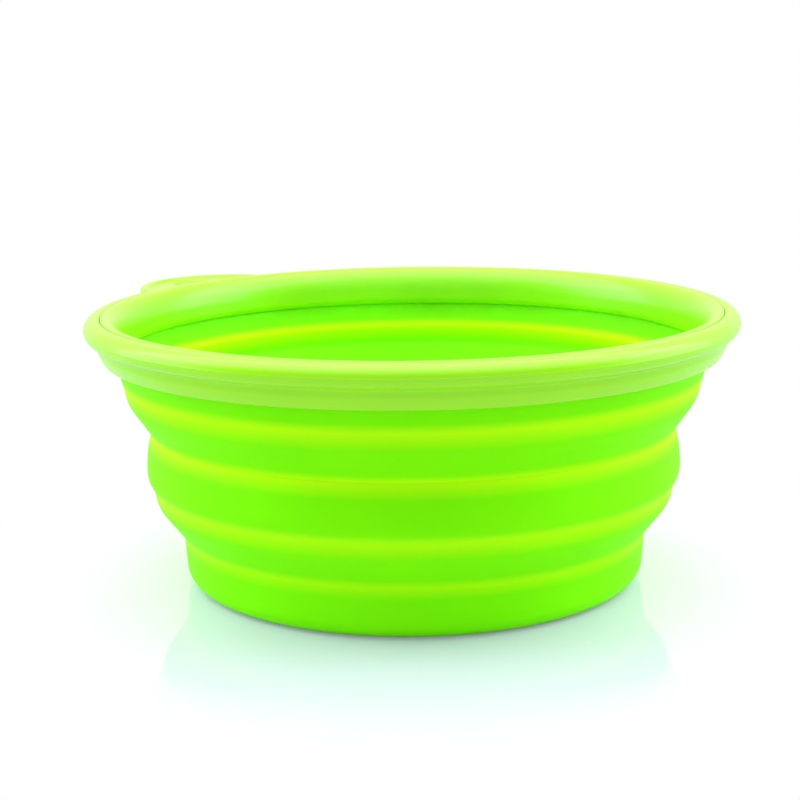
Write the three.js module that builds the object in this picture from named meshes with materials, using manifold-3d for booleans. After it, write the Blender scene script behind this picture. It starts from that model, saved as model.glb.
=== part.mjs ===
// Collapsible pet bowl: a stepped silicone cup that folds flat, held in a two-piece plastic rim.
// Millimetres, +Z up, origin at the centre of the underside. The hang tab is at the back left.
import * as THREE from "three";
import { mergeVertices } from "three/addons/utils/BufferGeometryUtils.js";
import Module from "manifold-3d";

// Silicone base: radius at its fold line, narrowing by the taper towards the floor
const baseRadius = 46.58;
const baseHeight = 10.35;
const baseTaper = 0.45;
const baseFillet = 4.0;
const floorThickness = 2.4;
const floorFillet = 2.0;

// Silicone bands and the thin webs that flip between them
const bandWall = 2.0;
const webWall = 1.2;
const lowerWebStep = 5.69;
const lowerWebHeight = 9.76;
const lowerKneeInset = 0.6;
const lowerKneeDrop = 3.25;
const middleHeight = 11.07;
const middleBulge = 1.16;
const bulgeHeight = 3.2;
const upperWebStep = 5.36;
const upperWebHeight = 10.49;
const upperKneeInset = 0.9;
const upperKneeDrop = 4.0;
const neckHeight = 4.73;
const neckFlare = 1.37;
const flangeHeight = 3.8;
const flangeWall = 0.9;

// Plastic rim: collar over the neck, bead round the outside, roll round the mouth
const clearance = 0.3;
const lipDrop = 0.6;
const lipWall = 1.9;
const collarFlare = 1.2;
const collarHeight = 2.4;
const recessHeight = 1.8;
const ledgeWidth = 0.65;
const beadReach = 1.8;
const beadUpperHeight = 2.25;
const ribThickness = 1.85;
const seamDepth = 1.9;
const seamInset = 3.15;
const crestInset = 0.43;
const crestRise = 0.1;
const rollLean = 0.3;
const rollFootHeight = 2.1;

// Hang tab: bearing in degrees from straight back towards the left
const tabBearing = 43.5;
const tabRadius = 18;
const tabThickness = 3.0;
const tabDrop = 1.1;
const tabRound = 0.8;
const tabEdge = 3.8;
const clipHoleRadius = 4.5;
const clipHoleGap = 2.05;

// Facets of a full turn, a quarter arc, the middle band's bulge and the tab's circles
const turnSteps = 64;
const arcSteps = 6;
const bulgeSteps = 10;
const tabSteps = 24;

// Fold lines, as radius and height on the outer face
const foldFour = point(baseRadius, baseHeight);
const foldThree = point(foldFour.x + lowerWebStep, foldFour.y + lowerWebHeight);
const foldTwo = point(foldThree.x, foldThree.y + middleHeight);
const foldOne = point(foldTwo.x + upperWebStep, foldTwo.y + upperWebHeight);

// Heights and radii of the rim
const shoulderZ = foldOne.y + neckHeight;
const flangeTopZ = shoulderZ + flangeHeight;
const ribZ = flangeTopZ + clearance;
const shelfZ = ribZ + ribThickness;
const seamZ = shelfZ + seamDepth;
const widestZ = seamZ - beadUpperHeight;
const lipZ = shoulderZ - lipDrop;
const collarTopZ = lipZ + collarHeight;
const ledgeZ = collarTopZ + recessHeight;
const lipRadius = neckRadius(lipZ) + clearance + lipWall;
const collarRadius = lipRadius + collarFlare;
const ledgeRadius = collarRadius + ledgeWidth;
const rimRadius = ledgeRadius + beadReach;
const seamRadius = rimRadius - seamInset;

const wasm = await Module();
wasm.setup();

// Point of a section, as radius and height
function point(r, z) {
  return new THREE.Vector2(r, z);
}

// Outer radius of the neck's cone, which the whole rim follows
function neckRadius(z) {
  return foldOne.x + (neckFlare * (z - foldOne.y)) / neckHeight;
}

// Stretch of an ellipse between two angles in degrees, as points of a section
function arc(centre, radiusR, radiusZ, from, to) {
  const start = THREE.MathUtils.degToRad(from);
  const end = THREE.MathUtils.degToRad(to);
  const curve = new THREE.EllipseCurve(centre.x, centre.y, radiusR, radiusZ, start, end, from > to);
  return curve.getPoints(arcSteps);
}

// Radius at height z on the line through a and b
function radiusAt([a, b], z) {
  return a.x + ((b.x - a.x) * (z - a.y)) / (b.y - a.y);
}

// Crossing of two lines, or the point that they share where one runs straight on from the other
function crossing([a, b], [c, d]) {
  const ab = b.clone().sub(a);
  const cd = d.clone().sub(c);
  const turn = ab.cross(cd);
  if (Math.abs(turn) < 1e-6) {
    return c.clone();
  }
  const share = c.clone().sub(a).cross(cd) / turn;
  return a.clone().addScaledVector(ab, share);
}

// Closed section of a wall: its outer outline from bottom to top, then the inner face back down.
// The inner face lies square to the outline, and both ends are cut level.
function wallSection(outline, thickness) {
  const lines = [];
  for (let i = 1; i < outline.length; i += 1) {
    const along = outline[i].clone().sub(outline[i - 1]).normalize();
    const inward = point(-along.y, along.x).multiplyScalar(thickness);
    lines.push([outline[i - 1].clone().add(inward), outline[i].clone().add(inward)]);
  }
  const bottomZ = outline[0].y;
  const topZ = outline[outline.length - 1].y;
  const inner = [point(radiusAt(lines[0], bottomZ), bottomZ)];
  for (let i = 1; i < lines.length; i += 1) {
    inner.push(crossing(lines[i - 1], lines[i]));
  }
  inner.push(point(radiusAt(lines[lines.length - 1], topZ), topZ));
  return [...outline, ...inner.reverse()];
}

// Geometry with shared vertices and nothing but positions
function merged(geometry) {
  geometry.deleteAttribute("normal");
  geometry.deleteAttribute("uv");
  return mergeVertices(geometry);
}

// Solid turned about +Z from a section that starts and ends on the axis
function turned(section) {
  return merged(new THREE.LatheGeometry(section, turnSteps).rotateX(Math.PI / 2));
}

// Ring turned about +Z from a section that closes on itself
function ring(section) {
  return turned([...section, section[0]]);
}

function toSolid(geometry) {
  const mesh = new wasm.Mesh({
    numProp: 3,
    vertProperties: new Float32Array(geometry.attributes.position.array),
    triVerts: new Uint32Array(geometry.index.array),
  });
  return new wasm.Manifold(mesh);
}

function toGeometry(solid) {
  const mesh = solid.getMesh();
  const geometry = new THREE.BufferGeometry();
  geometry.setAttribute("position", new THREE.BufferAttribute(mesh.vertProperties, 3));
  geometry.setIndex(new THREE.BufferAttribute(mesh.triVerts, 1));
  return geometry;
}

// Silicone floor and the band above it, up to the lowest fold line
function baseCup() {
  const footRadius = baseRadius - baseTaper;
  const outerCentre = point(footRadius - baseFillet, baseFillet);
  const innerCentre = point(footRadius - bandWall - floorFillet, floorThickness + floorFillet);
  return turned([
    point(0, 0),
    ...arc(outerCentre, baseFillet, baseFillet, -90, 0),
    foldFour,
    point(foldFour.x - bandWall, foldFour.y),
    ...arc(innerCentre, floorFillet, floorFillet, 0, -90),
    point(0, floorThickness),
  ]);
}

// Thin cone between two fold lines, with a knee just under the upper one
function foldWeb(low, high, kneeInset, kneeDrop) {
  const knee = point(high.x - kneeInset, high.y - kneeDrop);
  return ring(wallSection([low, knee, high], webWall));
}

// Band between the two webs, fullest just above its lower edge
function middleBand() {
  const widest = point(foldThree.x + middleBulge, foldThree.y + bulgeHeight);
  const outline = new THREE.SplineCurve([foldThree, widest, foldTwo]).getPoints(bulgeSteps);
  return ring(wallSection(outline, bandWall));
}

// Neck above the upper web, with the thin flange that the rim clamps
function upperBand() {
  return ring([
    foldOne,
    point(neckRadius(flangeTopZ), flangeTopZ),
    point(neckRadius(flangeTopZ) - flangeWall, flangeTopZ),
    point(neckRadius(shoulderZ) - flangeWall, shoulderZ),
    point(neckRadius(shoulderZ) - bandWall, shoulderZ),
    point(foldOne.x - bandWall, foldOne.y),
  ]);
}

// Outer rim ring: collar over the neck, recess, rounded bead, rib above the flange, and the hang tab
function rimOuterRing() {
  const section = [
    point(lipRadius, lipZ),
    point(collarRadius, collarTopZ),
    point(collarRadius, ledgeZ),
    ...arc(point(ledgeRadius, widestZ), beadReach, widestZ - ledgeZ, -90, 0),
    ...arc(point(seamRadius, widestZ), seamInset, beadUpperHeight, 0, 90).slice(1),
    point(seamRadius, shelfZ),
    point(neckRadius(shelfZ) - flangeWall, shelfZ),
    point(neckRadius(ribZ) - flangeWall, ribZ),
    point(neckRadius(ribZ) + clearance, ribZ),
    point(neckRadius(lipZ) + clearance, lipZ),
  ];
  return toGeometry(toSolid(ring(section)).add(hangTab()));
}

// Round ear with a clip hole, ending halfway into the bead
function hangTab() {
  const holeCentre = rimRadius + clipHoleGap + clipHoleRadius;
  const earCentre = holeCentre + clipHoleRadius + tabEdge - tabRadius;
  const ear = new THREE.Shape().absarc(0, earCentre, tabRadius - tabRound, 0, 2 * Math.PI);
  ear.holes.push(new THREE.Path().absarc(0, holeCentre, clipHoleRadius + tabRound, 0, 2 * Math.PI));
  const plate = new THREE.ExtrudeGeometry(ear, {
    depth: tabThickness - 2 * tabRound,
    curveSegments: tabSteps,
    bevelSize: tabRound,
    bevelThickness: tabRound,
    bevelSegments: 2,
  });
  plate.translate(0, 0, seamZ - tabDrop - tabThickness + tabRound);
  plate.rotateZ(THREE.MathUtils.degToRad(tabBearing));
  const rootRadius = (seamRadius + rimRadius) / 2;
  const mouth = turned([point(0, 0), point(rootRadius, 0), point(rootRadius, seamZ), point(0, seamZ)]);
  return toSolid(merged(plate)).subtract(toSolid(mouth));
}

// Inner rim ring: skirt standing on the neck's shoulder, rolling over into the crest of the mouth
function rimInnerRing() {
  const skirtInset = flangeWall + clearance;
  const skirtRadius = neckRadius(shoulderZ) - bandWall;
  const outerRadius = seamRadius - clearance;
  const crest = point(outerRadius - crestInset, seamZ);
  const rollFoot = point(skirtRadius + rollLean, shoulderZ + rollFootHeight);
  const rollCentre = point(crest.x, rollFoot.y);
  return ring([
    point(skirtRadius, shoulderZ),
    point(neckRadius(shoulderZ) - skirtInset, shoulderZ),
    point(neckRadius(shelfZ) - skirtInset, shelfZ),
    point(outerRadius, shelfZ),
    ...arc(crest, crestInset, crestRise, 0, 90),
    ...arc(rollCentre, crest.x - rollFoot.x, seamZ + crestRise - rollFoot.y, 90, 180).slice(1),
  ]);
}

const silicone = { color: 0x78f708, roughness: 0.5, metalness: 0 };
const thinSilicone = { color: 0x96fb0c, roughness: 0.5, metalness: 0 };
const rimPlastic = { color: 0xa9f52e, roughness: 0.28, metalness: 0 };

const bowl = new THREE.Group();

function addPiece(name, geometry, finish) {
  const mesh = new THREE.Mesh(geometry, new THREE.MeshStandardMaterial(finish));
  mesh.name = name;
  bowl.add(mesh);
}

addPiece("base_cup", baseCup(), silicone);
addPiece("lower_fold_web", foldWeb(foldFour, foldThree, lowerKneeInset, lowerKneeDrop), thinSilicone);
addPiece("middle_band", middleBand(), silicone);
addPiece("upper_fold_web", foldWeb(foldTwo, foldOne, upperKneeInset, upperKneeDrop), thinSilicone);
addPiece("upper_band", upperBand(), silicone);
addPiece("rim_outer_ring", rimOuterRing(), rimPlastic);
addPiece("rim_inner_ring", rimInnerRing(), rimPlastic);

export default bowl;
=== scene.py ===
"""Looks for a collapsible pet bowl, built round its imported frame.

The cup is two turned silicone tiers that fold, and the rim is two turned plastic rings with a hang tab.
Sizes are in millimetres and become metres where a mesh is drawn. The bowl's front faces -Y.
"""

import logging
import math
from collections.abc import Callable, Iterable
from dataclasses import dataclass, field
from enum import Enum

import bmesh
import bpy
from mathutils import Color, Matrix, Vector


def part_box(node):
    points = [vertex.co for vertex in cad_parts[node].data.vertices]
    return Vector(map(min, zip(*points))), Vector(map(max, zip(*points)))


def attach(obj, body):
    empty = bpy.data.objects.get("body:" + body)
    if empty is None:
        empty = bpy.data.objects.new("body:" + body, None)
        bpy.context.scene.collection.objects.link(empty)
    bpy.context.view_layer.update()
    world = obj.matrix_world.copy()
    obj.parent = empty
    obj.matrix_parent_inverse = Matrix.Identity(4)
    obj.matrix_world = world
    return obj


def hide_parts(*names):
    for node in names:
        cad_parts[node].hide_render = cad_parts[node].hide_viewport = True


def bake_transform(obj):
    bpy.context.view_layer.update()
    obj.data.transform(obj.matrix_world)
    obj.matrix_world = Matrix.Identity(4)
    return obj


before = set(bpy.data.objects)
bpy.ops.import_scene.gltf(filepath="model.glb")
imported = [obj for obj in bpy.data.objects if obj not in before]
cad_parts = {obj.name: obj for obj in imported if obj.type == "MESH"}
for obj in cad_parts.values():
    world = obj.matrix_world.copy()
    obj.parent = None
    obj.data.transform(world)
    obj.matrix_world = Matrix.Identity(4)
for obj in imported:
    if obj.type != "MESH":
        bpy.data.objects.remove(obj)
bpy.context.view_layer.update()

MM = 0.001
TURN_STEPS = 192
ROUND_STEPS = 12
EASE_STEPS = 4
SMOOTH_ANGLE = math.radians(38)
SAME_PLACE = 0.002 * MM
REST_HEIGHT = "rest_height"
INNER_FACE = "inner_face"
FULL_CHANNEL = 255

# A colour in linear light with its alpha, and what an input of a shader node takes
Rgba = tuple[float, float, float, float]
Feed = float | tuple[float, ...] | bpy.types.NodeSocket

WHITE: Rgba = (1.0, 1.0, 1.0, 1.0)
BLACK: Rgba = (0.0, 0.0, 0.0, 1.0)

log = logging.getLogger("pet_bowl")


class Node(Enum):
    """The frame's nodes, one for each solid of the bowl."""

    BASE_CUP = "base_cup"
    LOWER_WEB = "lower_fold_web"
    MIDDLE_BAND = "middle_band"
    UPPER_WEB = "upper_fold_web"
    UPPER_BAND = "upper_band"
    OUTER_RING = "rim_outer_ring"
    INNER_RING = "rim_inner_ring"

    def top(self) -> float:
        """Height of the node's highest point, in millimetres."""
        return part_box(self.value)[1].z / MM

    def bottom(self) -> float:
        """Height of the node's lowest point, in millimetres."""
        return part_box(self.value)[0].z / MM

    def radius(self) -> float:
        """Largest radius of the node along +X, in millimetres."""
        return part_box(self.value)[1].x / MM


class Body(Enum):
    """The frame's bodies, which the two slides join."""

    BASE = "base"
    MIDDLE = "middle"
    RIM = "rim"


class Slot(Enum):
    """The record's material slots."""

    SILICONE = "silicone"
    RIM_PLASTIC = "rim_plastic"


class Combine(Enum):
    """How one solid is combined with another."""

    JOIN = "UNION"
    CUT = "DIFFERENCE"


class Shown(Enum):
    """Whether a lamp lights surfaces, is mirrored in glossy ones, or both."""

    EVERYWHERE = "light and gloss"
    IN_GLOSS = "gloss"
    OFF_GLOSS = "light"


class Course(Enum):
    """How a step runs between its two levels."""

    SMOOTH = "SMOOTHSTEP"
    EVEN = "LINEAR"


class Socket(Enum):
    """Kinds of sockets on a node group."""

    VALUE = "NodeSocketFloat"
    COLOUR = "NodeSocketColor"
    VECTOR = "NodeSocketVector"


@dataclass(frozen=True)
class Mark:
    """A point of a half section, in millimetres.

    The corner there is rounded, starting `ease` away from it along each side.
    """

    r: float
    z: float
    ease: float = 0.0

    def place(self) -> Vector:
        """The point in the XZ plane, in metres."""
        return Vector((self.r * MM, 0, self.z * MM))

    def eased(self, ease: float) -> "Mark":
        """The same point with its corner rounded."""
        return Mark(self.r, self.z, ease)

    def shifted(self, out: float, up: float, ease: float = 0.0) -> "Mark":
        """A point that lies `out` further from the axis and `up` higher."""
        return Mark(self.r + out, self.z + up, ease)


def arc(
    centre: Mark, reach_r: float, reach_z: float, start: float, end: float, steps: int = ROUND_STEPS
) -> list[Mark]:
    """Stretch of an ellipse, as points of a section.

    Args:
        centre: Middle of the ellipse.
        reach_r: Half its width.
        reach_z: Half its height.
        start: First angle in degrees, 0 pointing outwards and 90 up.
        end: Last angle in degrees.
        steps: Number of straight stretches.

    Returns:
        The points, both ends included.
    """
    marks = []
    for step in range(steps + 1):
        angle = math.radians(start + (end - start) * step / steps)
        marks.append(centre.shifted(reach_r * math.cos(angle), reach_z * math.sin(angle)))
    return marks


def bulge(low: Mark, widest: Mark, high: Mark) -> list[Mark]:
    """Rounded wall that is upright at its widest point and draws in above and below it.

    Args:
        low: Lower end of the wall.
        widest: Its widest point.
        high: Upper end of the wall.

    Returns:
        The points from low to high, both ends included.
    """
    marks = []
    for start, end in ((low, widest), (widest, high)):
        far = low if start is low else high
        for step in range(ROUND_STEPS):
            z = start.z + (end.z - start.z) * step / ROUND_STEPS
            share = (z - widest.z) / (far.z - widest.z)
            marks.append(Mark(widest.r + (far.r - widest.r) * share**2, z))
    return [*marks, high]


def select_only(piece: bpy.types.Object) -> None:
    """Selects one object and makes it the active one.

    Args:
        piece: The object.
    """
    bpy.ops.object.select_all(action="DESELECT")
    bpy.context.view_layer.objects.active = piece
    piece.select_set(True)


def select_verts(mesh: bpy.types.Mesh, wanted: Callable[[bmesh.types.BMVert], bool]) -> None:
    """Selects vertices of the mesh in edit mode.

    Args:
        mesh: Mesh in edit mode.
        wanted: Says whether a vertex is selected.
    """
    bpy.ops.mesh.select_mode(type="VERT")
    shape = bmesh.from_edit_mesh(mesh)
    for vert in shape.verts:
        vert.select = wanted(vert)
    shape.select_flush_mode()
    bmesh.update_edit_mesh(mesh)


def select_places(mesh: bpy.types.Mesh, places: Iterable[Vector]) -> None:
    """Selects the vertices that lie at the given places."""
    spots = list(places)
    select_verts(mesh, lambda vert: any((vert.co - spot).length < SAME_PLACE for spot in spots))


def close_shape() -> None:
    """Merges doubled vertices of the mesh in edit mode, points its faces outwards and leaves edit mode."""
    bpy.ops.mesh.select_all(action="SELECT")
    bpy.ops.mesh.remove_doubles(threshold=SAME_PLACE)
    bpy.ops.mesh.normals_make_consistent(inside=False)
    bpy.ops.object.mode_set(mode="OBJECT")


def start_piece(name: str) -> bpy.types.Object:
    """Adds a piece as a single vertex at the origin, in edit mode.

    Args:
        name: Name of the piece and its mesh.

    Returns:
        The piece.
    """
    bpy.ops.object.select_all(action="DESELECT")
    bpy.ops.mesh.primitive_plane_add(size=MM)
    piece = bpy.context.object
    piece.name = name
    piece.data.name = name
    bpy.ops.object.mode_set(mode="EDIT")
    bpy.ops.mesh.merge(type="CENTER")
    return piece


def turned_piece(name: str, outline: list[Mark]) -> bpy.types.Object:
    """Draws a half section by extruding a vertex, rounds its corners and spins it about +Z.

    Args:
        name: Name of the piece.
        outline: Points of the section. It closes on itself unless both ends lie on the axis.

    Returns:
        The piece, a closed mesh.
    """
    piece = start_piece(name)
    mesh = piece.data
    bpy.ops.transform.translate(value=outline[0].place())
    for last, mark in zip(outline, outline[1:]):
        step = mark.place() - last.place()
        bpy.ops.mesh.extrude_region_move(TRANSFORM_OT_translate={"value": step})
    if outline[0].r > 0:
        select_places(mesh, (outline[0].place(), outline[-1].place()))
        bpy.ops.mesh.edge_face_add()
    for mark in outline:
        if mark.ease > 0:
            select_places(mesh, [mark.place()])
            bpy.ops.mesh.bevel(offset=mark.ease * MM, segments=EASE_STEPS, affect="VERTICES")
    bpy.ops.mesh.select_all(action="SELECT")
    bpy.ops.mesh.spin(steps=TURN_STEPS, angle=2 * math.pi, center=(0, 0, 0), axis=(0, 0, 1))
    close_shape()
    return piece


def combine(piece: bpy.types.Object, tool: bpy.types.Object, how: Combine) -> None:
    """Joins a tool solid to a piece or cuts it from the piece, and removes the tool.

    Args:
        piece: The piece that is changed.
        tool: The solid that is joined or cut away.
        how: Whether the tool is joined or cut away.
    """
    modifier = piece.modifiers.new(name=how.name, type="BOOLEAN")
    modifier.operation = how.value
    modifier.object = tool
    modifier.solver = "MANIFOLD"
    select_only(piece)
    bpy.ops.object.modifier_apply(modifier=modifier.name)
    bpy.data.objects.remove(tool, do_unlink=True)


def smooth(piece: bpy.types.Object) -> None:
    """Shades a piece smooth, apart from its sharp edges."""
    select_only(piece)
    bpy.ops.object.shade_smooth_by_angle(angle=SMOOTH_ANGLE)


def keep_rest_marks(piece: bpy.types.Object) -> None:
    """Stores each vertex's height at rest, in millimetres, and whether it faces the axis.

    The painted light along the fold lines and the painted shade on faces towards the axis, under the rim
    and below the rim's crest, read both.

    Args:
        piece: A turned piece.
    """
    verts = piece.data.vertices
    heights = [vert.co.z / MM for vert in verts]
    facing = [float(vert.normal.x * vert.co.x + vert.normal.y * vert.co.y < 0) for vert in verts]
    for name, values in ((REST_HEIGHT, heights), (INNER_FACE, facing)):
        attribute = piece.data.attributes.new(name, "FLOAT", "POINT")
        attribute.data.foreach_set("value", values)


def give_finish(piece: bpy.types.Object, material: bpy.types.Material) -> None:
    """Gives a piece its material.

    Args:
        piece: The piece.
        material: Its material.
    """
    piece.data.materials.clear()
    piece.data.materials.append(material)


@dataclass(frozen=True)
class Paint:
    """A colour as 8-bit sRGB values."""

    red: int
    green: int
    blue: int

    def linear(self) -> Rgba:
        """The colour in linear light, with full alpha."""
        screen = Color([value / FULL_CHANNEL for value in (self.red, self.green, self.blue)])
        return (*screen.from_srgb_to_scene_linear(), 1.0)


class Graph:
    """Lays nodes into one node tree and wires them."""

    def __init__(self, tree: bpy.types.NodeTree) -> None:
        """Starts on an empty tree."""
        self.tree = tree
        tree.nodes.clear()

    def node(
        self, kind: str, inputs: dict[str | int, Feed] | None = None, **settings: object
    ) -> bpy.types.Node:
        """Adds a node.

        Args:
            kind: Type of the node.
            inputs: Values or sockets for its inputs, by name or index.
            settings: Values for its properties.

        Returns:
            The node.
        """
        made = self.tree.nodes.new(kind)
        for name, value in settings.items():
            setattr(made, name, value)
        for key, value in (inputs or {}).items():
            if isinstance(value, bpy.types.NodeSocket):
                self.tree.links.new(value, made.inputs[key])
            else:
                made.inputs[key].default_value = value
        return made

    def attribute(self, name: str) -> bpy.types.NodeSocket:
        """Adds a reading of one of the mesh's values and gives its result."""
        return self.node("ShaderNodeAttribute", attribute_name=name).outputs["Fac"]

    def noise(self, place: bpy.types.NodeSocket, scale: Feed, detail: float) -> bpy.types.NodeSocket:
        """Adds a noise pattern and gives its value."""
        inputs = {"Vector": place, "Scale": scale, "Detail": detail}
        return self.node("ShaderNodeTexNoise", inputs).outputs["Fac"]

    def math(self, operation: str, *values: Feed) -> bpy.types.NodeSocket:
        """Adds a Math node on values or sockets and gives its result."""
        return self.node("ShaderNodeMath", dict(enumerate(values)), operation=operation).outputs[0]

    def ramp(
        self, value: Feed, start: Feed, end: Feed, low: Feed, high: Feed, course: Course = Course.SMOOTH
    ) -> bpy.types.NodeSocket:
        """Adds a step from one level to another and gives its result.

        Args:
            value: Socket that is read.
            start: Value at which the step begins.
            end: Value at which it ends.
            low: Result at the start.
            high: Result at the end.
            course: How the step runs between its ends.

        Returns:
            The result's socket.
        """
        inputs = {"Value": value, "From Min": start, "From Max": end, "To Min": low, "To Max": high}
        return self.node("ShaderNodeMapRange", inputs, interpolation_type=course.value).outputs["Result"]

    def mixed(self, share: Feed, first: Feed, second: Feed) -> bpy.types.NodeSocket:
        """Adds a colour mix.

        Args:
            share: Share of the second colour, from 0 to 1.
            first: Colour or socket at share 0.
            second: Colour or socket at share 1.

        Returns:
            The mixed colour's socket.
        """
        made = self.node("ShaderNodeMix", data_type="RGBA")
        for name, value in (("Factor_Float", share), ("A_Color", first), ("B_Color", second)):
            socket = next(entry for entry in made.inputs if entry.identifier == name)
            if isinstance(value, bpy.types.NodeSocket):
                self.tree.links.new(value, socket)
            else:
                socket.default_value = value
        return next(entry for entry in made.outputs if entry.identifier == "Result_Color")


def new_material(name: str) -> tuple[bpy.types.Material, Graph]:
    """Makes an empty node material.

    Args:
        name: Name of the material.

    Returns:
        The material and its graph.
    """
    material = bpy.data.materials.new(name)
    material.use_nodes = True
    return material, Graph(material.node_tree)


def new_group(name: str, inputs: dict[str, Socket], outputs: dict[str, Socket]) -> Graph:
    """Makes a shader node group with its sockets.

    Args:
        name: Name of the group.
        inputs: Kinds of the inputs by name.
        outputs: Kinds of the outputs by name.

    Returns:
        The group's graph.
    """
    tree = bpy.data.node_groups.new(name, "ShaderNodeTree")
    for direction, sockets in (("INPUT", inputs), ("OUTPUT", outputs)):
        for label, kind in sockets.items():
            tree.interface.new_socket(label, in_out=direction, socket_type=kind.value)
    return Graph(tree)


@dataclass(frozen=True)
class MouldedGrain:
    """Fine unevenness of a moulded surface: mottled colour, uneven gloss and a faint grain."""

    cloud_scale: float = 55.0
    cloud_detail: float = 4.0
    cloud_low: float = 0.3
    cloud_high: float = 0.7
    grain_detail: float = 2.0
    grain_middle: float = 0.5

    def group(self) -> bpy.types.NodeTree:
        """Builds the effect, which every finish of the bowl uses with its own values.

        Returns:
            The node group.
        """
        graph = new_group(
            "moulded_grain",
            {
                "Vector": Socket.VECTOR,
                "Colour": Socket.COLOUR,
                "Shade": Socket.COLOUR,
                "Mottle": Socket.VALUE,
                "Roughness": Socket.VALUE,
                "Spread": Socket.VALUE,
                "Grain Scale": Socket.VALUE,
            },
            {"Colour": Socket.COLOUR, "Roughness": Socket.VALUE, "Height": Socket.VALUE},
        )
        given = graph.node("NodeGroupInput").outputs
        place = given["Vector"]
        cloud = graph.noise(place, self.cloud_scale, self.cloud_detail)
        grain = graph.noise(place, given["Grain Scale"], self.grain_detail)
        patch = graph.ramp(cloud, self.cloud_low, self.cloud_high, 0.0, 1.0)
        share = graph.math("MULTIPLY", patch, given["Mottle"])
        colour = graph.mixed(share, given["Colour"], given["Shade"])
        uneven = graph.math("SUBTRACT", grain, self.grain_middle)
        rough = graph.math("MULTIPLY_ADD", uneven, given["Spread"], given["Roughness"])
        graph.node("NodeGroupOutput", {"Colour": colour, "Roughness": rough, "Height": grain})
        return graph.tree


def fold_light_group() -> bpy.types.NodeTree:
    """Builds the mask of the painted light at a fold line, which stands in for light through the thinner
    silicone there.

    It sets in quickly at the line and fades out below it.

    Returns:
        The node group.
    """
    graph = new_group(
        "fold_light",
        {name: Socket.VALUE for name in ("Height", "Line", "Fade", "Onset", "Strength")},
        {"Mask": Socket.VALUE},
    )
    given = graph.node("NodeGroupInput").outputs
    below = graph.math("SUBTRACT", given["Line"], given["Fade"])
    above = graph.math("ADD", given["Line"], given["Onset"])
    fading = graph.ramp(given["Height"], below, given["Line"], 0.0, 1.0, Course.EVEN)
    setting_in = graph.ramp(given["Height"], given["Line"], above, 1.0, 0.0)
    light = graph.math("MULTIPLY", fading, setting_in)
    graph.node("NodeGroupOutput", {"Mask": graph.math("MULTIPLY", light, given["Strength"])})
    return graph.tree


@dataclass(frozen=True)
class FoldGlow:
    """Painted light at one fold line of the cup.

    On the outer face it peaks `sink` below the line and fades out over `fade` further down, in millimetres.
    """

    sink: float
    fade: float
    strength: float


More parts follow.
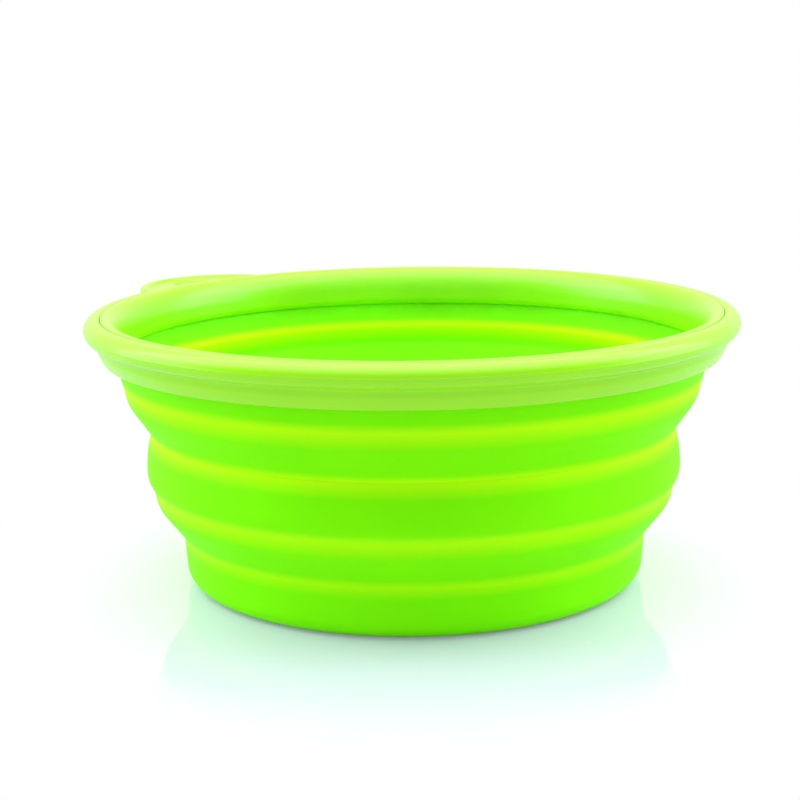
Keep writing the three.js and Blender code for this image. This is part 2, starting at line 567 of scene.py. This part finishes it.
@dataclass(frozen=True)
class SiliconeFinish:
    """Satin translucent silicone with painted light, yellower, at the fold lines where it is thinner, and
    painted shade on faces towards the axis, darkest under the rim.

    The fold lines are heights at rest in millimetres, and each has its own glow, both from the lowest up.
    """

    grain: bpy.types.NodeTree
    fold_light: bpy.types.NodeTree
    lines: tuple[float, ...]
    neck_top: float
    body: Paint = Paint(124, 243, 2)
    # The next two colours are painted shade: a darker copy of the body on faces towards the axis, and a
    # darker one still under the rim.
    inside: Paint = Paint(124, 222, 2)
    painted_rim_shade: Paint = Paint(101, 196, 2)
    shade: Paint = Paint(115, 238, 1)
    # The next two colours are painted light at the fold lines, on the outer and the inner faces, standing
    # in for light through the thinner silicone.
    painted_fold_light: Paint = Paint(180, 255, 8)
    painted_fold_light_inside: Paint = Paint(204, 250, 4)
    glows: tuple[FoldGlow, ...] = (
        FoldGlow(0.1, 2.3, 0.68),
        FoldGlow(0.2, 3.1, 0.82),
        FoldGlow(0.3, 2.8, 1.0),
        FoldGlow(0.7, 3.2, 0.95),
    )
    onset: float = 2.1
    inner_fade: float = 3.4
    inner_onset: float = 1.7
    mottle: float = 0.4
    roughness: float = 0.5
    gloss_spread: float = 0.16
    grain_scale: float = 1400.0
    grain_strength: float = 0.12
    grain_depth: float = 0.03
    specular: float = 0.04
    scatter: float = 0.3
    scatter_colours: tuple[float, float, float] = (1.0, 1.0, 0.1)
    scatter_depth: float = 0.5

    def material(self) -> bpy.types.Material:
        """Builds the material.

        Returns:
            The material.
        """
        material, graph = new_material("silicone")
        inside = graph.attribute(INNER_FACE)
        height = graph.attribute(REST_HEIGHT)
        # Painted shade on faces towards the axis, growing darker from the top fold line up to the rim.
        depth = graph.ramp(height, max(self.lines), self.neck_top, 0.0, 1.0)
        painted_lining_shade = graph.mixed(depth, self.inside.linear(), self.painted_rim_shade.linear())
        grain = graph.node(
            "ShaderNodeGroup",
            node_tree=self.grain,
            inputs={
                "Vector": graph.node("ShaderNodeTexCoord").outputs["Object"],
                "Colour": graph.mixed(inside, self.body.linear(), painted_lining_shade),
                "Shade": self.shade.linear(),
                "Mottle": self.mottle,
                "Roughness": self.roughness,
                "Spread": self.gloss_spread,
                "Grain Scale": self.grain_scale,
            },
        )
        # Painted light: the glow mask mixes the paler, yellower fold colour into the base colour.
        painted_fold_light = graph.mixed(inside, self.painted_fold_light.linear(), self.painted_fold_light_inside.linear())
        colour = graph.mixed(self.glow(graph, height, inside), grain.outputs["Colour"], painted_fold_light)
        bump = graph.node(
            "ShaderNodeBump",
            {
                "Height": grain.outputs["Height"],
                "Strength": self.grain_strength,
                "Distance": self.grain_depth * MM,
            },
        )
        shader = graph.node(
            "ShaderNodeBsdfPrincipled",
            {
                "Base Color": colour,
                "Roughness": grain.outputs["Roughness"],
                "Normal": bump.outputs["Normal"],
                "Specular IOR Level": self.specular,
                "Subsurface Weight": self.scatter,
                "Subsurface Radius": self.scatter_colours,
                "Subsurface Scale": self.scatter_depth * MM,
            },
        )
        graph.node("ShaderNodeOutputMaterial", {"Surface": shader.outputs["BSDF"]})
        return material

    def glow(
        self, graph: Graph, height: bpy.types.NodeSocket, inside: bpy.types.NodeSocket
    ) -> bpy.types.NodeSocket:
        """Adds the painted light of every fold line.

        Args:
            graph: The material's graph.
            height: Height at rest, in millimetres.
            inside: Is 1 on faces towards the axis, where the light spreads both ways.

        Returns:
            The strongest painted light at each point.
        """
        onset = graph.ramp(inside, 0.0, 1.0, self.onset, self.inner_onset)
        strongest: bpy.types.NodeSocket | None = None
        for line, glow in zip(self.lines, self.glows):
            light = graph.node(
                "ShaderNodeGroup",
                node_tree=self.fold_light,
                inputs={
                    "Height": height,
                    "Line": graph.ramp(inside, 0.0, 1.0, line - glow.sink, line),
                    "Fade": graph.ramp(inside, 0.0, 1.0, glow.fade, self.inner_fade),
                    "Onset": onset,
                    "Strength": glow.strength,
                },
            )
            mask = light.outputs["Mask"]
            strongest = mask if strongest is None else graph.math("MAXIMUM", strongest, mask)
        return strongest


@dataclass(frozen=True)
class RimFinish:
    """Glossy pale plastic with faint turned streaks.

    It has painted shade, a darker copy of its colour, on faces towards the axis below the crest, on the
    piece that has the marks for them.
    """

    grain: bpy.types.NodeTree
    crest: float
    body: Paint = Paint(150, 230, 5)
    shade: Paint = Paint(143, 225, 4)
    # Painted shade: a darker copy of the body for faces towards the axis, fading out over inside_drop below
    # the crest.
    inside: Paint = Paint(134, 208, 4)
    inside_drop: float = 3.0
    mottle: float = 0.5
    roughness: float = 0.3
    gloss_spread: float = 0.04
    gloss_scale: float = 300.0
    streak_scale: float = 1400.0
    streak_detail: float = 0.0
    streak_strength: float = 0.08
    streak_depth: float = 0.05
    specular: float = 0.42
    coat: float = 0.1
    coat_roughness: float = 0.08

    def material(self) -> bpy.types.Material:
        """Builds the material.

        Returns:
            The material.
        """
        material, graph = new_material("rim_plastic")
        place = graph.node("ShaderNodeTexCoord").outputs["Object"]
        height = graph.attribute(REST_HEIGHT)
        # Painted shade on faces towards the axis, full from inside_drop below the crest downwards and
        # fading out up to the crest.
        below = graph.ramp(height, self.crest - self.inside_drop, self.crest, 1.0, 0.0)
        depth = graph.math("MULTIPLY", graph.attribute(INNER_FACE), below)
        grain = graph.node(
            "ShaderNodeGroup",
            node_tree=self.grain,
            inputs={
                "Vector": place,
                "Colour": graph.mixed(depth, self.body.linear(), self.inside.linear()),
                "Shade": self.shade.linear(),
                "Mottle": self.mottle,
                "Roughness": self.roughness,
                "Spread": self.gloss_spread,
                "Grain Scale": self.gloss_scale,
            },
        )
        bump = graph.node(
            "ShaderNodeBump",
            {
                "Height": self.streaks(graph, place),
                "Strength": self.streak_strength,
                "Distance": self.streak_depth * MM,
            },
        )
        shader = graph.node(
            "ShaderNodeBsdfPrincipled",
            {
                "Base Color": grain.outputs["Colour"],
                "Roughness": grain.outputs["Roughness"],
                "Normal": bump.outputs["Normal"],
                "Specular IOR Level": self.specular,
                "Coat Weight": self.coat,
                "Coat Roughness": self.coat_roughness,
            },
        )
        graph.node("ShaderNodeOutputMaterial", {"Surface": shader.outputs["BSDF"]})
        return material

    def streaks(self, graph: Graph, place: bpy.types.NodeSocket) -> bpy.types.NodeSocket:
        """Adds streaks that run round the axis and are uneven across it.

        Args:
            graph: The material's graph.
            place: Place on the piece.

        Returns:
            The height of the streaks.
        """
        split = graph.node("ShaderNodeSeparateXYZ", {0: place}).outputs
        flat = graph.node("ShaderNodeCombineXYZ", {"X": split["X"], "Y": split["Y"]})
        out = graph.node("ShaderNodeVectorMath", {0: flat.outputs[0]}, operation="LENGTH").outputs["Value"]
        section = graph.node("ShaderNodeCombineXYZ", {"X": out, "Y": split["Z"]})
        return graph.noise(section.outputs[0], self.streak_scale, self.streak_detail)


@dataclass(frozen=True)
class FoldLines:
    """Where the cup folds, as points of its outer face."""

    base: Mark
    band_foot: Mark
    band_head: Mark
    neck: Mark

    @classmethod
    def from_frame(cls) -> "FoldLines":
        """Reads the fold lines from the ends of the frame's webs.

        Returns:
            The fold lines.
        """
        return cls(
            base=Mark(Node.BASE_CUP.radius(), Node.BASE_CUP.top()),
            band_foot=Mark(Node.LOWER_WEB.radius(), Node.LOWER_WEB.top()),
            band_head=Mark(Node.LOWER_WEB.radius(), Node.MIDDLE_BAND.top()),
            neck=Mark(Node.UPPER_WEB.radius(), Node.UPPER_WEB.top()),
        )

    def heights(self) -> tuple[float, ...]:
        """Heights of the fold lines, from the lowest up."""
        return (self.base.z, self.band_foot.z, self.band_head.z, self.neck.z)


@dataclass
class SiliconeCup:
    """The silicone cup, as a lower and an upper tier that meet in the crease under the upper web."""

    folds: FoldLines = field(default_factory=FoldLines.from_frame)
    base_taper: float = 0.45
    base_fillet: float = 4.0
    floor_thickness: float = 2.4
    floor_fillet: float = 2.0
    band_wall: float = 2.0
    web_wall: float = 1.2
    lower_knee_inset: float = 0.6
    lower_knee_drop: float = 3.25
    bulge_out: float = 1.16
    bulge_height: float = 3.2
    upper_knee_inset: float = 0.9
    upper_knee_drop: float = 4.0
    neck_height: float = 4.73
    neck_flare: float = 1.37
    flange_wall: float = 0.9
    fold_ease: float = 0.8
    knee_ease: float = 1.2
    hinge_ease: float = 0.2
    shoulder_wall: float = 1.3

    def build(self) -> tuple[bpy.types.Object, bpy.types.Object]:
        """Builds both tiers.

        Returns:
            The lower and the upper tier.
        """
        tiers = (
            turned_piece("silicone_lower_tier", self.lower_outline()),
            turned_piece("silicone_upper_tier", self.upper_outline()),
        )
        for tier in tiers:
            smooth(tier)
            keep_rest_marks(tier)
        return tiers

    def lower_outline(self) -> list[Mark]:
        """Draws the section of the base, the lower web and the middle band.

        Returns:
            Its points, from the underside round to the floor.
        """
        folds = self.folds
        round_off = self.base_fillet
        foot = folds.base.r - self.base_taper
        knee = folds.band_foot.shifted(-self.lower_knee_inset, -self.lower_knee_drop)
        widest = folds.band_foot.shifted(self.bulge_out, self.bulge_height)
        outer_bulge = bulge(folds.band_foot, widest, folds.band_head)
        inner_bulge = [mark.shifted(-self.band_wall, 0) for mark in reversed(outer_bulge)]
        floor_edge = foot - self.band_wall - self.floor_fillet
        return [
            Mark(0, 0),
            *arc(Mark(foot - round_off, round_off), round_off, round_off, -90, 0),
            folds.base.eased(self.fold_ease),
            knee.eased(self.knee_ease),
            *outer_bulge,
            *inner_bulge[:-1],
            folds.band_foot.shifted(-self.band_wall, 0, self.hinge_ease),
            self.web_inside(folds.base, knee).eased(self.fold_ease),
            folds.base.shifted(-self.band_wall, 0, self.fold_ease),
            *arc(
                Mark(floor_edge, self.floor_thickness + self.floor_fillet),
                self.floor_fillet,
                self.floor_fillet,
                0,
                -90,
            ),
            Mark(0, self.floor_thickness),
        ]

    def upper_outline(self) -> list[Mark]:
        """Draws the section of the upper web, the neck and the flange inside the rim.

        Returns:
            Its points, from the crease up the outside and back down the inside.
        """
        folds = self.folds
        knee = folds.neck.shifted(-self.upper_knee_inset, -self.upper_knee_drop)
        shoulder = self.neck_at(folds.neck.z + self.neck_height)
        flange = self.neck_at(Node.UPPER_BAND.top())
        return [
            folds.band_head,
            knee.eased(self.knee_ease),
            folds.neck.eased(self.fold_ease),
            flange,
            flange.shifted(-self.flange_wall, 0),
            shoulder.shifted(-self.flange_wall, 0),
            shoulder.shifted(-self.shoulder_wall, 0),
            folds.neck.shifted(-self.band_wall, 0, self.fold_ease),
            self.web_inside(folds.band_head, knee).eased(self.fold_ease),
            self.web_foot(folds.band_head, knee),
        ]

    def neck_at(self, z: float) -> Mark:
        """Point of the neck's cone at a height, which the flange and the rim follow."""
        neck = self.folds.neck
        return Mark(neck.r + self.neck_flare * (z - neck.z) / self.neck_height, z)

    def web_inside(self, foot: Mark, knee: Mark) -> Mark:
        """Point of a web's inner face opposite its knee."""
        slope = math.atan2(knee.r - foot.r, knee.z - foot.z)
        return knee.shifted(-self.web_wall * math.cos(slope / 2), self.web_wall * math.sin(slope / 2))

    def web_foot(self, foot: Mark, knee: Mark) -> Mark:
        """Point of a web's inner face level with its lower fold line."""
        slope = math.atan2(knee.r - foot.r, knee.z - foot.z)
        return foot.shifted(-self.web_wall / math.cos(slope), 0)

    def dress(self, lower: bpy.types.Object, upper: bpy.types.Object, grain: bpy.types.NodeTree) -> None:
        """Gives both tiers the silicone.

        Args:
            lower: The lower tier.
            upper: The upper tier.
            grain: The unevenness of a moulded surface.
        """
        finish = SiliconeFinish(grain, fold_light_group(), self.folds.heights(), Node.INNER_RING.bottom())
        silicone = finish.material()
        for tier in (lower, upper):
            give_finish(tier, silicone)

    def attach(self, lower: bpy.types.Object, upper: bpy.types.Object) -> None:
        """Bakes each tier's place into its mesh and hides the frame's nodes that the tiers stand in for.

        Args:
            lower: The lower tier.
            upper: The upper tier.
        """
        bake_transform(lower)
        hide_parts(Node.BASE_CUP.value, Node.LOWER_WEB.value, Node.MIDDLE_BAND.value)
        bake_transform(upper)
        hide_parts(Node.UPPER_WEB.value, Node.UPPER_BAND.value)


@dataclass
class HangTab:
    """Round ear with a clip hole and a raised edge, at the back left of the rim."""

    bearing: float = 43.5
    radius: float = 18.0
    centre: float = 61.533
    hole_radius: float = 4.5
    hole_centre: float = 71.233
    bottom: float = 50.15
    top: float = 53.15
    edge_round: float = 0.8
    hole_round: float = 1.2
    border: float = 1.7
    border_slope: float = 0.5
    sunk: float = 0.5
    steps: int = 96

    def build(self) -> bpy.types.Object:
        """Bridges the tab's loops, one to the next, into a closed plate.

        Returns:
            The tab.
        """
        loops = [*self.rim_loops(), *self.hole_loops()]
        bpy.ops.object.select_all(action="DESELECT")
        bpy.ops.object.add(type="MESH")
        tab = bpy.context.object
        tab.name = "hang_tab"
        bpy.ops.object.mode_set(mode="EDIT")
        for radius, centre, height in loops:
            bpy.ops.mesh.primitive_circle_add(
                vertices=self.steps, radius=radius * MM, location=self.spot(centre, height)
            )
        for index in range(len(loops)):
            pair = {index, (index + 1) % len(loops)}
            select_verts(tab.data, lambda vert, pair=pair: vert.index // self.steps in pair)
            bpy.ops.mesh.bridge_edge_loops()
        close_shape()
        return tab

    def rim_loops(self) -> list[tuple[float, float, float]]:
        """Lists the loops round the ear's edge.

        Returns:
            Radius, centre and height of each loop, from the underside to the sunk top.
        """
        round_off = self.edge_round
        inside = self.radius - round_off
        low = arc(Mark(inside, self.bottom + round_off), round_off, round_off, -90, 0, EASE_STEPS)
        high = arc(Mark(inside, self.top - round_off), round_off, round_off, 0, 90, EASE_STEPS)
        border = Mark(self.radius - self.border, self.top)
        sunk = border.shifted(-self.border_slope, -self.sunk)
        return [(mark.r, self.centre, mark.z) for mark in (*low, *high, border, sunk)]

    def hole_loops(self) -> list[tuple[float, float, float]]:
        """Lists the loops of the hole.

        Returns:
            Radius, centre and height of each loop, from the sunk top to the underside.
        """
        round_off = self.hole_round
        outside = self.hole_radius + round_off
        sunk_top = self.top - self.sunk
        high = arc(Mark(outside, sunk_top - round_off), round_off, round_off, 90, 180, EASE_STEPS)
        low = arc(Mark(outside, self.bottom + round_off), round_off, round_off, 180, 270, EASE_STEPS)
        return [(mark.r, self.hole_centre, mark.z) for mark in (*high, *low)]

    def spot(self, out: float, height: float) -> Vector:
        """Point on the tab's centre line, in metres."""
        turn = math.radians(self.bearing)
        return Vector((-out * math.sin(turn), out * math.cos(turn), height)) * MM


@dataclass
class Rim:
    """The plastic rim.

    Its outer ring has the collar, the bead and the hang tab, and its inner ring rolls into the mouth.
    """

    cup: SiliconeCup
    lip: float = field(default_factory=Node.OUTER_RING.bottom)
    seam_top: float = field(default_factory=Node.OUTER_RING.top)
    radius: float = field(default_factory=Node.OUTER_RING.radius)
    foot: float = field(default_factory=Node.INNER_RING.bottom)
    crest_top: float = field(default_factory=Node.INNER_RING.top)
    clearance: float = 0.3
    lip_wall: float = 1.9
    lip_round: float = 0.45
    collar_flare: float = 1.2
    collar_height: float = 2.4
    recess_height: float = 1.8
    ledge_width: float = 0.65
    ledge_ease: float = 0.6
    ledge_drop: float = 0.45
    bead_turn: float = 62.0
    bead_upper: float = 2.25
    parting_rise: float = 0.05
    parting_half: float = 0.12
    seam_inset: float = 3.15
    seam_depth: float = 1.9
    seam_gap: float = 0.12
    seam_dip: float = 0.35
    seam_turn: float = 0.7
    crest_inset: float = 0.6
    roll_lean: float = 0.3
    roll_foot: float = 2.1
    foot_turn: float = 0.5
    foot_rise: float = 1.3
    edge_ease: float = 0.3
    tab: HangTab = field(default_factory=HangTab)

    def build(self) -> tuple[bpy.types.Object, bpy.types.Object]:
        """Builds both rings.

        Returns:
            The outer and the inner ring.
        """
        outer = turned_piece("rim_outer_ring_shell", self.outer_outline())
        tab = self.tab.build()
        combine(tab, self.mouth(), Combine.CUT)
        combine(outer, tab, Combine.JOIN)
        inner = turned_piece("rim_inner_ring_shell", self.inner_outline())
        for ring in (outer, inner):
            smooth(ring)
        keep_rest_marks(inner)
        return outer, inner

    def mouth(self) -> bpy.types.Object:
        """Adds the round core that trims the tab's root to the middle of the bead.

        Returns:
            The core.
        """
        root = self.radius - self.seam_inset / 2
        bpy.ops.object.select_all(action="DESELECT")
        bpy.ops.mesh.primitive_cylinder_add(
            vertices=TURN_STEPS, radius=root * MM, depth=2 * self.crest_top * MM
        )
        return bpy.context.object

    def seam(self) -> Mark:
        """Inner edge of the outer ring's top, at the seam between the rings."""
        return Mark(self.radius - self.seam_inset, self.seam_top)

    def outer_outline(self) -> list[Mark]:
        """Draws the section of the outer ring.

        Returns:
            Its points, from the collar's lip over the bead and back down the inside.
        """
        cup = self.cup
        lip = cup.neck_at(self.lip).shifted(self.clearance, 0)
        collar = lip.shifted(self.lip_wall + self.collar_flare, self.collar_height)
        ledge = collar.shifted(0, self.recess_height)
        bead_foot = ledge.shifted(self.ledge_width, 0)
        widest = Mark(self.radius, self.seam_top - self.bead_upper)
        reach, rise = widest.r - bead_foot.r, widest.z - bead_foot.z
        under = arc(Mark(bead_foot.r, widest.z), reach, rise, -self.bead_turn, 0)
        turn = self.seam_turn
        seam = self.seam()
        over = arc(Mark(seam.r + turn, widest.z), self.seam_inset - turn, self.bead_upper, 0, 90)
        into_seam = arc(seam.shifted(turn, -self.seam_dip), turn, self.seam_dip, 90, 180, EASE_STEPS)
        shelf = cup.neck_at(self.seam_top - self.seam_depth)
        rib = cup.neck_at(Node.UPPER_BAND.top() + self.clearance)
        return [
            lip.shifted(self.lip_wall, 0, self.lip_round),
            collar.eased(self.edge_ease),
            ledge.shifted(0, -self.ledge_drop, self.ledge_ease),
            *under[:-1],
            widest.shifted(0, -self.parting_half),
            widest.shifted(self.parting_rise, 0),
            widest.shifted(0, self.parting_half),
            *over[1:],
            *into_seam[1:],
            Mark(seam.r, shelf.z),
            shelf.shifted(-cup.flange_wall, 0),
            rib.shifted(-cup.flange_wall, 0),
            rib.shifted(self.clearance, 0),
            lip.eased(self.edge_ease / 2),
        ]

    def inner_outline(self) -> list[Mark]:
        """Draws the section of the inner ring.

        Returns:
            Its points, from the foot up the outside, over the crest and down the roll.
        """
        cup = self.cup
        skirt = cup.neck_at(self.foot)
        shelf = cup.neck_at(self.seam_top - self.seam_depth)
        behind = cup.flange_wall + self.clearance
        reach = self.seam().r - self.seam_gap
        crest = Mark(reach - self.crest_inset, self.crest_top)
        roll_foot = skirt.shifted(self.roll_lean - cup.band_wall, self.roll_foot)
        fall = arc(crest.shifted(0, -self.seam_dip), self.crest_inset, self.seam_dip, 0, 90, EASE_STEPS)
        roll = arc(Mark(crest.r, roll_foot.z), crest.r - roll_foot.r, crest.z - roll_foot.z, 90, 180)
        lean = self.roll_lean * self.foot_rise / self.roll_foot
        foot = skirt.shifted(lean + self.foot_turn - cup.band_wall, self.foot_rise)
        return [
            *arc(foot, self.foot_turn, self.foot_rise, 180, 270),
            skirt.shifted(-behind, 0),
            shelf.shifted(-behind, 0),
            Mark(reach, shelf.z),
            *fall,
            *roll[1:],
        ]

    def dress(self, outer: bpy.types.Object, inner: bpy.types.Object, grain: bpy.types.NodeTree) -> None:
        """Gives both rings the plastic.

        Args:
            outer: The outer ring.
            inner: The inner ring.
            grain: The unevenness of a moulded surface.
        """
        plastic = RimFinish(grain, self.crest_top).material()
        for ring in (outer, inner):
            give_finish(ring, plastic)

    def attach(self, outer: bpy.types.Object, inner: bpy.types.Object) -> None:
        """Lets both rings ride on the rim's body.

        Args:
            outer: The outer ring.
            inner: The inner ring.
        """
        for ring, node in ((outer, Node.OUTER_RING), (inner, Node.INNER_RING)):
            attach(ring, Body.RIM.value)
            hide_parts(node.value)


@dataclass(frozen=True)
class Softbox:
    """A soft rectangular lamp that is aimed at the bowl, with its place and size in metres."""

    name: str
    place: tuple[float, float, float]
    width: float
    depth: float
    radiance: float
    shown: Shown = Shown.EVERYWHERE

    def build(self) -> None:
        """Hangs the lamp."""
        lamp = bpy.data.lights.new(self.name, "AREA")
        lamp.shape = "RECTANGLE"
        lamp.size = self.width
        lamp.size_y = self.depth
        lamp.energy = self.radiance * math.pi * self.width * self.depth
        holder = bpy.data.objects.new(self.name, lamp)
        holder.location = self.place
        holder.rotation_euler = (-Vector(self.place)).to_track_quat("-Z", "Y").to_euler()
        holder.visible_glossy = self.shown is not Shown.OFF_GLOSS
        holder.visible_diffuse = self.shown is not Shown.IN_GLOSS
        bpy.context.scene.collection.objects.link(holder)


SOFTBOXES = (
    Softbox("top_softbox", (0.0, 0.05, 0.45), 1.4, 0.4, 2.65),
    Softbox("strip_softbox", (0.0, -0.21, 0.45), 1.4, 0.12, 3.4, Shown.IN_GLOSS),
    Softbox("front_softbox", (0.0, -0.6, 0.9), 1.6, 1.2, 0.65),
    Softbox("fill_softbox", (0.0, -0.9, 0.4), 1.8, 0.7, 0.54, Shown.OFF_GLOSS),
    Softbox("left_softbox", (-0.9, 0.1, 0.35), 0.7, 0.7, 2.65),
    Softbox("right_softbox", (0.9, 0.1, 0.35), 0.7, 0.7, 2.65),
)


@dataclass
class Studio:
    """White floor, soft light and the camera.

    The camera's place and the floor's drop are in millimetres, other lengths in metres, angles in degrees.
    """

    floor_size: float = 6.0
    floor_drop: float = 0.05
    camera_back: float = 363.3
    camera_up: float = 109.3
    pitch: float = 11.5
    yaw: float = 0.404
    roll: float = 0.8
    lens: float = 82.9
    sky_dim: float = 0.2
    sky_bright: float = 1.0
    dim_until: float = -0.5
    bright_from: float = 0.3
    white_start: float = 0.045
    white_end: float = 0.1
    gloss_lead: float = 0.035
    white_near: float = 0.22
    bounce: float = 0.08
    # bounce_shade is the share of the painted floor shadow that rays lighting the bowl see.
    bounce_shade: float = 0.4
    paper: Rgba = (0.95, 0.95, 0.95, 1.0)
    # Painted shadow: the floor's darker, bluish colour near the bowl.
    painted_shadow_paper: Rgba = (0.54, 0.56, 0.73, 1.0)
    near_white: Rgba = (0.75, 0.8, 0.89, 1.0)
    mirror: Rgba = (0.25, 0.2, 0.11, 1.0)
    mirror_start: float = 0.07
    mirror_end: float = 0.1
    mirror_blur: float = 0.05

    def build(self) -> None:
        """Builds the floor, the light and the camera."""
        self.build_floor()
        self.build_sky()
        for lamp in SOFTBOXES:
            lamp.build()
        self.build_camera()

    def build_floor(self) -> None:
        """Adds the floor just under the bowl."""
        bpy.ops.object.select_all(action="DESELECT")
        bpy.ops.mesh.primitive_plane_add(size=self.floor_size, location=(0, 0, -self.floor_drop * MM))
        floor = bpy.context.object
        floor.name = "studio_floor"
        floor.data.materials.append(self.floor_material())

    def floor_material(self) -> bpy.types.Material:
        """Builds the floor: paper that keeps the shadow, with a painted shadow darkening it near the bowl,
        a faded mirror image, and plain white further off.

        Rays that light the bowl see a part of the painted shadow, and gloss sees the plain white closer in.

        Returns:
            The material.
        """
        material, graph = new_material("studio_floor")
        place = graph.node("ShaderNodeTexCoord").outputs["Object"]
        away = graph.node("ShaderNodeVectorMath", {0: place}, operation="LENGTH").outputs["Value"]
        path = graph.node("ShaderNodeLightPath").outputs
        looked_at = path["Is Camera Ray"]
        near = graph.ramp(away, self.mirror_start, self.mirror_end, 1.0, 0.0)
        shine = graph.math("MULTIPLY", near, looked_at)
        # Painted shadow: the paper turns to a darker bluish colour near the bowl, fully for the camera and
        # in part for rays that light the bowl.
        seen = graph.ramp(looked_at, 0.0, 1.0, self.bounce_shade, 1.0)
        colour = graph.mixed(graph.math("MULTIPLY", near, seen), self.paper, self.painted_shadow_paper)
        paper = graph.node("ShaderNodeBsdfDiffuse", {"Color": colour})
        glow = graph.math("MULTIPLY_ADD", path["Is Diffuse Ray"], self.bounce, 1.0)
        left = graph.mixed(shine, WHITE, self.near_white)
        white = graph.node("ShaderNodeEmission", {"Color": left, "Strength": glow})
        least = graph.math("MULTIPLY", looked_at, self.white_near)
        end = graph.math("MULTIPLY_ADD", path["Is Glossy Ray"], -self.gloss_lead, self.white_end)
        far = graph.ramp(away, self.white_start, end, least, 1.0)
        sheet = graph.node("ShaderNodeMixShader", {0: far, 1: paper.outputs[0], 2: white.outputs[0]})
        image = graph.mixed(shine, BLACK, self.mirror)
        gloss = graph.node("ShaderNodeBsdfGlossy", {"Color": image, "Roughness": self.mirror_blur})
        shader = graph.node("ShaderNodeAddShader", {0: sheet.outputs[0], 1: gloss.outputs[0]})
        graph.node("ShaderNodeOutputMaterial", {"Surface": shader.outputs[0]})
        return material

    def build_sky(self) -> None:
        """Gives the world a white backdrop behind the bowl, which dims towards the front of the room."""
        world = bpy.data.worlds.new("studio_sky")
        world.use_nodes = True
        graph = Graph(world.node_tree)
        toward = graph.node("ShaderNodeTexCoord").outputs["Generated"]
        back = graph.node("ShaderNodeSeparateXYZ", {0: toward}).outputs["Y"]
        room = graph.ramp(back, self.dim_until, self.bright_from, self.sky_dim, self.sky_bright)
        path = graph.node("ShaderNodeLightPath").outputs
        seen = graph.math("MAXIMUM", path["Is Camera Ray"], path["Is Transmission Ray"])
        level = graph.math("MAXIMUM", room, seen)
        light = graph.node("ShaderNodeBackground", {"Color": WHITE, "Strength": level})
        graph.node("ShaderNodeOutputWorld", {"Surface": light.outputs[0]})
        bpy.context.scene.world = world

    def build_camera(self) -> None:
        """Places the camera in front of the bowl, a little above its rim."""
        camera = bpy.data.cameras.new("camera")
        camera.lens = self.lens
        holder = bpy.data.objects.new("camera", camera)
        turn = Matrix.Rotation(math.radians(self.yaw), 3, "Z")
        tilt = Matrix.Rotation(math.radians(90 - self.pitch), 3, "X")
        roll = Matrix.Rotation(math.radians(-self.roll), 3, "Z")
        holder.rotation_euler = (turn @ tilt @ roll).to_euler()
        holder.location = (0, -self.camera_back * MM, self.camera_up * MM)
        bpy.context.scene.collection.objects.link(holder)
        bpy.context.scene.camera = holder


def main() -> None:
    """Builds the cup, the rim and the studio, in that order."""
    logging.basicConfig(level=logging.INFO, format="%(name)s: %(message)s")
    grain = MouldedGrain().group()
    cup = SiliconeCup()
    tiers = cup.build()
    cup.dress(*tiers, grain)
    cup.attach(*tiers)
    rim = Rim(cup)
    rings = rim.build()
    rim.dress(*rings, grain)
    rim.attach(*rings)
    for piece in (*tiers, *rings):
        log.info("%s: %d faces", piece.name, len(piece.data.polygons))
    Studio().build()
    bpy.context.scene.view_settings.view_transform = "Standard"


if __name__ == "__main__":
    main()
